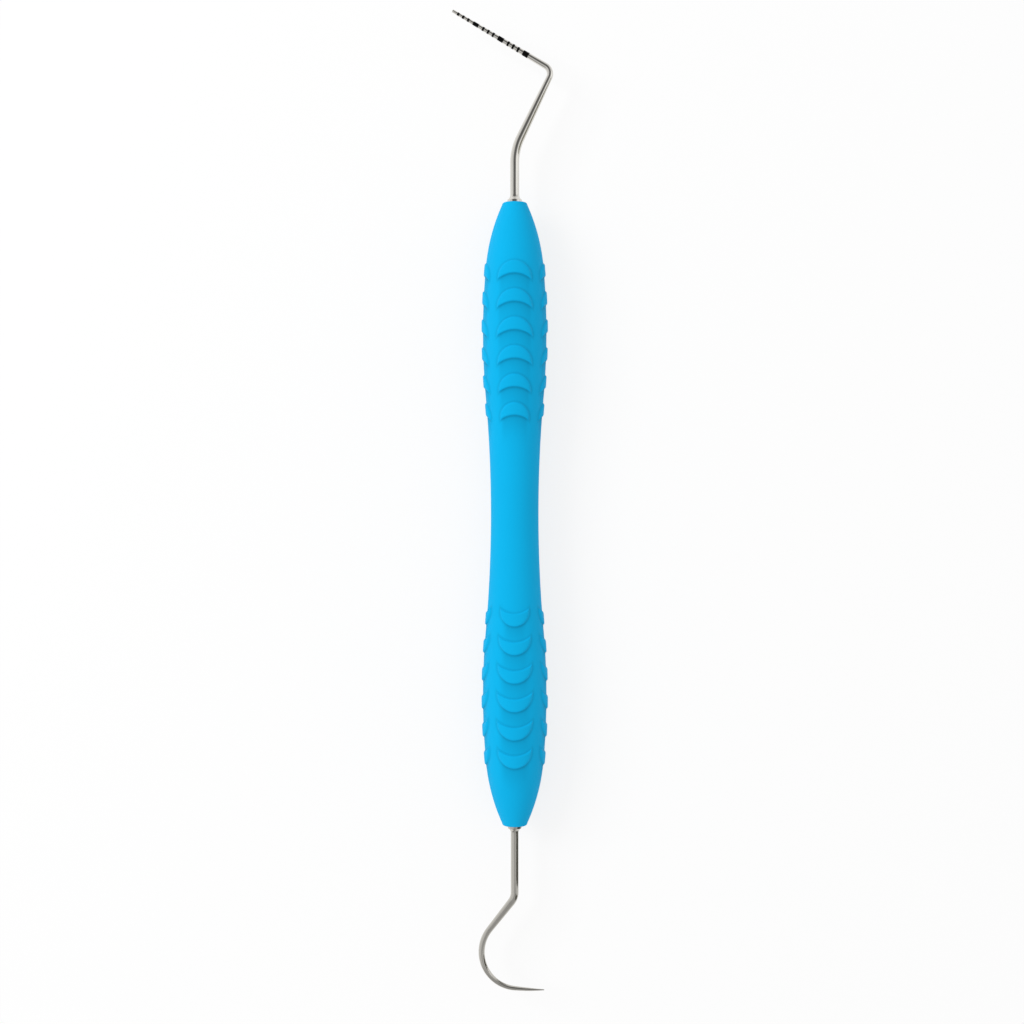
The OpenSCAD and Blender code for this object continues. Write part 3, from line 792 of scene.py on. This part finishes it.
def towards(tree, place, direction, low, high, start, end):
    """A factor that goes smoothly from start to end as a world direction nears another one;
    low and high are the cosines of the angle between them where it begins and ends."""
    near = add_node(tree, "ShaderNodeVectorMath", {0: place}, operation="DOT_PRODUCT")
    near.inputs[1].default_value = Vector(direction).normalized()
    return add_node(tree, "ShaderNodeMapRange", {"Value": near.outputs["Value"]},
                    interpolation_type="SMOOTHSTEP",
                    inputs={"From Min": low, "From Max": high, "To Min": start,
                            "To Max": end}).outputs["Result"]


def studio_world():
    """White to the eye, an even pale light on matt surfaces, and for polished metal a pale
    studio with a dark opening overhead, a bright panel on the right and duller walls."""
    world = bpy.data.worlds.new("studio")
    bpy.context.scene.world = world
    world.use_nodes = True
    tree = world.node_tree
    tree.nodes.clear()
    rays = add_node(tree, "ShaderNodeLightPath")
    place = add_node(tree, "ShaderNodeTexCoord").outputs["Generated"]
    factors = [towards(tree, place, *patch) for patch in STUDIO_PATCHES]
    room = add_node(tree, "ShaderNodeMath", {0: factors[0]}, operation="MULTIPLY",
                    inputs={1: ROOM_LEVEL}).outputs["Value"]
    for factor in factors[1:]:
        room = add_node(tree, "ShaderNodeMath", {0: room, 1: factor},
                        operation="MULTIPLY").outputs["Value"]
    even = add_node(tree, "ShaderNodeMix", {"Factor": rays.outputs["Is Glossy Ray"], "B": room},
                    data_type="FLOAT", inputs={"A": SOFT_LEVEL})
    level = add_node(tree, "ShaderNodeMix", {"Factor": rays.outputs["Is Camera Ray"],
                                             "A": even.outputs["Result"]}, data_type="FLOAT",
                     inputs={"B": 1.0})
    back = add_node(tree, "ShaderNodeBackground", {"Strength": level.outputs["Result"]},
                    inputs={"Color": (1, 1, 1, 1)})
    output = add_node(tree, "ShaderNodeOutputWorld")
    tree.links.new(back.outputs["Background"], output.inputs["Surface"])


def dark_card(name, place, facing, width, height, level):
    """A dark studio card that stands on the table. Only reflections show it, as the dark
    stripes on the steel. place is the middle of its foot and facing the way it faces, both
    seen from above, and level is how bright its warm grey felt looks."""
    material, tree, output = new_material(name + "_felt")
    felt = add_node(tree, "ShaderNodeEmission",
                    inputs={"Color": (level, 0.97 * level, 0.8 * level, 1)})
    tree.links.new(felt.outputs["Emission"], output.inputs["Surface"])
    bm = bmesh.new()
    bmesh.ops.create_grid(bm, x_segments=1, y_segments=1, size=0.5)
    turn = Vector((*facing, 0)).to_track_quat("Z", "Y").to_matrix().to_4x4()
    bmesh.ops.transform(bm, verts=bm.verts, matrix=Matrix.Translation(
        (*place, CAD_BOX[0].z + height / 2)) @ turn @ Matrix.Diagonal((width, height, 1, 1)))
    mesh = bpy.data.meshes.new(name)
    bm.to_mesh(mesh)
    bm.free()
    mesh.materials.append(material)
    card = bpy.data.objects.new(name, mesh)
    bpy.context.scene.collection.objects.link(card)
    card.visible_camera = False
    card.visible_diffuse = False
    card.visible_transmission = False
    card.visible_shadow = False


def straight_down_camera():
    """Looks straight down on the instrument, with the probe at the top of the frame."""
    lens = bpy.data.cameras.new("camera")
    lens.sensor_width = 36
    lens.lens = 60
    lens.shift_y = CAMERA_SHIFT
    lens.clip_start = 0.01
    lens.clip_end = 10
    holder = bpy.data.objects.new("camera", lens)
    holder.location = CAMERA_PLACE
    bpy.context.scene.collection.objects.link(holder)
    bpy.context.scene.camera = holder


table_top(pale_table())
area_light("key", direction=(-0.55, 0.25, 0.5), distance=0.9, size=0.45, level=0.43)
studio_world()
dark_card("shank_card", place=(0.012, -0.0616), facing=(-1, 0), width=0.0105,
          height=0.0185, level=0.08)
dark_card("hook_card", place=(0.020, -0.0775), facing=(-1, 0), width=0.0075,
          height=0.042, level=0.09)
dark_card("probe_card", place=(0.0620, 0.0562), facing=(-0.975, 0.22), width=0.017,
          height=0.062, level=0.27)
straight_down_camera()
bpy.context.scene.view_settings.view_transform = "Standard"
